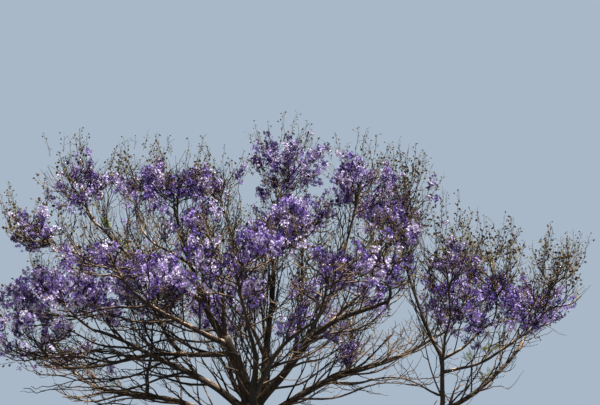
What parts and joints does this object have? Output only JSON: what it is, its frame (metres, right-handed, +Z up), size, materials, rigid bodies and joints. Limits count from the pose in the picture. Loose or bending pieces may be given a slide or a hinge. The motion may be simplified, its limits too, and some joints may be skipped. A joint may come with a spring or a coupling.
{
  "type": "jacaranda tree",
  "caption": "Broad jacaranda tree in bloom: a flared trunk forks low into spreading limbs that carry open masses of violet blossom sprays and round seed pods.",
  "frame": {"origin": "middle of the flat cut under the trunk, at ground level", "axes": "+Z up, +X to the right and +Y away from the viewer of the picture"},
  "size_m": [15.2948, 12.3041, 11.108],
  "materials": {
    "bark": "matt",
    "bloom": "matt"
  },
  "bodies": {
    "root": {"trunk": "bark", "left_leader": "bark", "centre_leader": "bark", "right_leader": "bark", "low_right": "bark", "right_low": "bark", "front_centre": "bark", "left_swing": "bark", "left_base": "bark", "back_centre": "bark", "left_high": "bark", "left_mid": "bark", "left_low": "bark", "inner_left": "bark", "left_far": "bark", "left_arm": "bark", "left_crest": "bark", "left_back": "bark", "left_riser": "bark", "centre_spire": "bark", "centre_left": "bark", "back_crest": "bark", "right_up": "bark", "centre_inner": "bark", "right_crest": "bark", "front_right": "bark", "right_riser": "bark", "right_top": "bark", "right_mid": "bark", "right_inner": "bark", "right_outer": "bark", "back_right": "bark", "right_leader_bloom": "bloom", "low_right_bloom": "bloom", "right_low_bloom": "bloom", "front_centre_bloom": "bloom", "left_swing_bloom": "bloom", "left_base_bloom": "bloom", "back_centre_bloom": "bloom", "left_high_bloom": "bloom", "left_mid_bloom": "bloom", "left_low_bloom": "bloom", "inner_left_bloom": "bloom", "left_far_bloom": "bloom", "left_arm_bloom": "bloom", "left_crest_bloom": "bloom", "left_back_bloom": "bloom", "left_riser_bloom": "bloom", "centre_spire_bloom": "bloom", "centre_left_bloom": "bloom", "back_crest_bloom": "bloom", "right_up_bloom": "bloom", "centre_inner_bloom": "bloom", "right_crest_bloom": "bloom", "front_right_bloom": "bloom", "right_top_bloom": "bloom", "right_mid_bloom": "bloom", "right_inner_bloom": "bloom", "right_outer_bloom": "bloom", "back_right_bloom": "bloom"}
  },
  "joints": []
}
